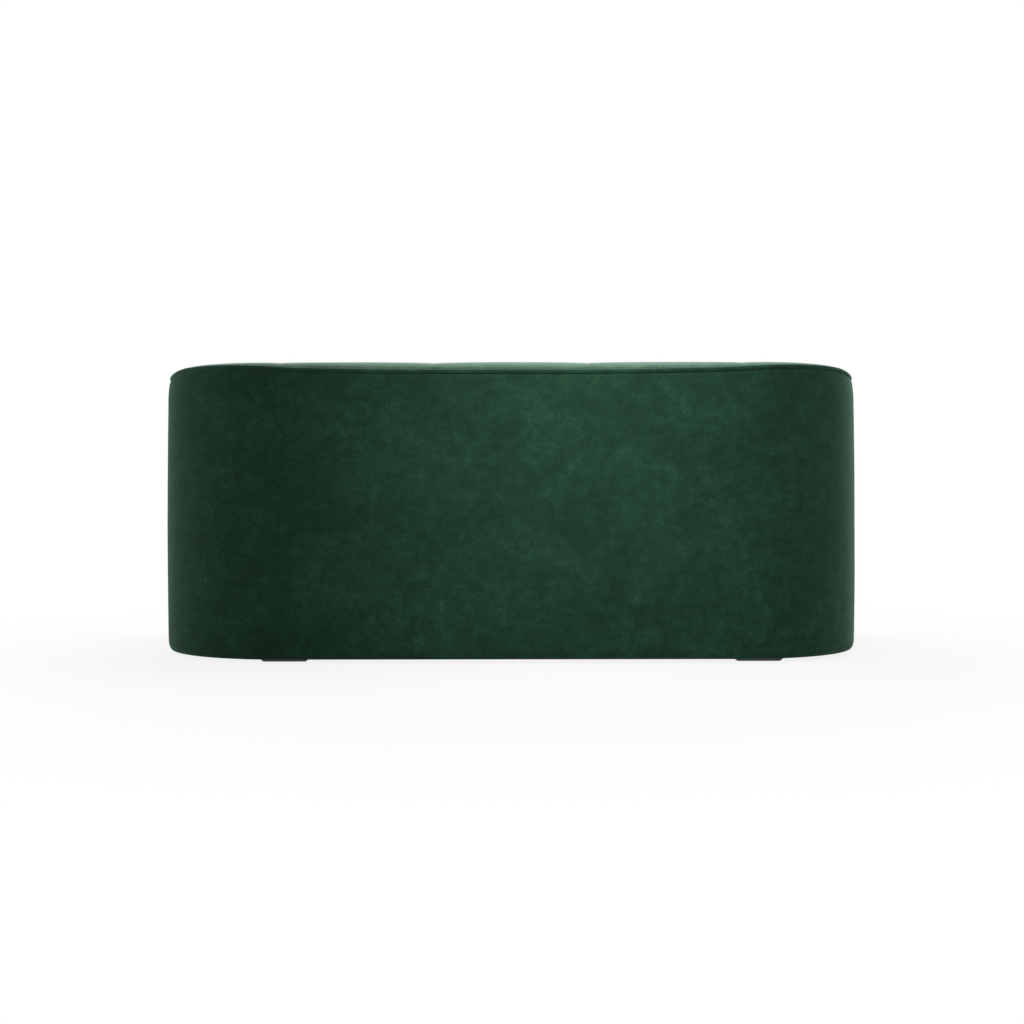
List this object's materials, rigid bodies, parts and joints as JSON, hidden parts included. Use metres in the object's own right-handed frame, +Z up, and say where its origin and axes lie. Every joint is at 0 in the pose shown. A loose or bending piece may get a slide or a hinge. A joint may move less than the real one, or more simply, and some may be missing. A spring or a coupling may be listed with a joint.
{
  "type": "tub sofa",
  "caption": "Tub sofa in dark green velvet: a level wall with rounded corners round the back and arms, channelled inside pads, piping, loose seat cushions and low block feet.",
  "frame": {"origin": "on the floor, under the middle of the plan's box", "axes": "+Z up, the seat faces -Y, +X to the sitter's left"},
  "size_m": [1.85, 0.8199, 0.755],
  "materials": {
    "plywood": "matte",
    "timber": "matte",
    "webbing": "matte",
    "foam": "matte",
    "lining": "matte",
    "velvet": "matte",
    "velvet_piping": "matte",
    "underside_cloth": "matte",
    "foot_plastic": "matte",
    "steel": "satin"
  },
  "bodies": {
    "sofa": {"base_plate": "plywood", "plinth": "plywood", "top_plate": "plywood", "back_board": "plywood", "corner_boards": "plywood", "arm_boards": "plywood", "arm_front_boards": "plywood", "inner_corner_boards": "plywood", "inner_arm_boards": "plywood", "middle_plank": "plywood", "front_board": "plywood", "back_studs": "timber", "corner_studs": "timber", "arm_studs": "timber", "arm_front_posts": "timber", "front_seat_rail": "timber", "side_seat_rails": "timber", "corner_seat_rails": "timber", "back_seat_rail": "timber", "seat_beam": "timber", "seat_beam_post": "timber", "front_posts": "timber", "glue_blocks": "timber", "seat_straps": "webbing", "seat_cross_straps": "webbing", "back_straps_upright": "webbing", "back_straps_level": "webbing", "deck_foam": "foam", "base_edge_roll": "foam", "deck_cloth": "lining", "outside_cover": "velvet", "back_pad": "velvet", "left_corner_pad": "velvet", "right_corner_pad": "velvet", "left_arm_pad": "velvet", "right_arm_pad": "velvet", "left_arm_front": "velvet", "right_arm_front": "velvet", "front_border": "velvet", "piping_cord": "velvet_piping", "dust_cover": "underside_cloth", "rear_feet": "foot_plastic", "front_feet": "foot_plastic", "middle_foot": "foot_plastic", "foot_screws": "steel"},
    "left_cushion": {"left_seat_cushion": "velvet"},
    "right_cushion": {"right_seat_cushion": "velvet"}
  },
  "joints": [
    {"name": "left_cushion_lift", "type": "slide", "parent": "sofa", "child": "left_cushion", "axis": [0, 0, 1], "range_m": [0, 0.5]},
    {"name": "right_cushion_lift", "type": "slide", "parent": "sofa", "child": "right_cushion", "axis": [0, 0, 1], "range_m": [0, 0.5]}
  ]
}
